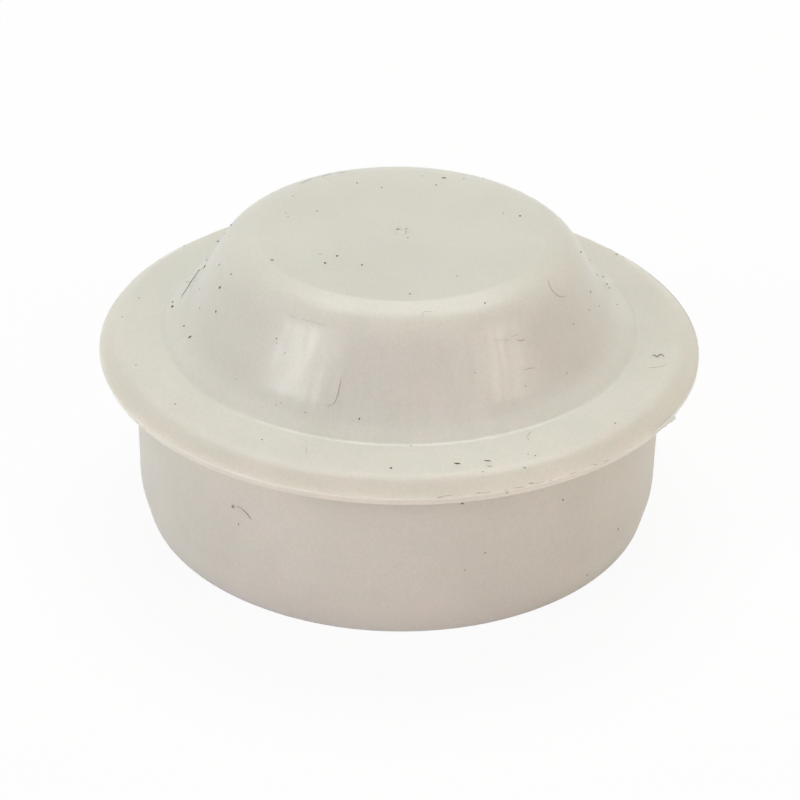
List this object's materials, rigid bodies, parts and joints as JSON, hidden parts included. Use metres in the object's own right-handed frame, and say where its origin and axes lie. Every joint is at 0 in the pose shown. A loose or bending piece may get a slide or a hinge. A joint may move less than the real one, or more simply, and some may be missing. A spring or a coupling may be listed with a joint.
{
  "type": "blanking plug",
  "caption": "Round push-in blanking plug of milky plastic: a flat-topped conical dome over a flange, with a short hollow spigot below that seals a pipe bore.",
  "frame": {"origin": "on the axis, in the plane of the flange's underside, which seats on the mouth of the pipe", "axes": "+Z along the axis, out of the pipe, from the spigot to the closed top"},
  "size_m": [0.034, 0.034, 0.0169],
  "materials": {
    "natural_polyethylene": "milky translucent moulded polyethylene, satin, with fine dust and scuffs"
  },
  "bodies": {
    "root": {"blanking_plug": "natural_polyethylene"}
  },
  "joints": []
}
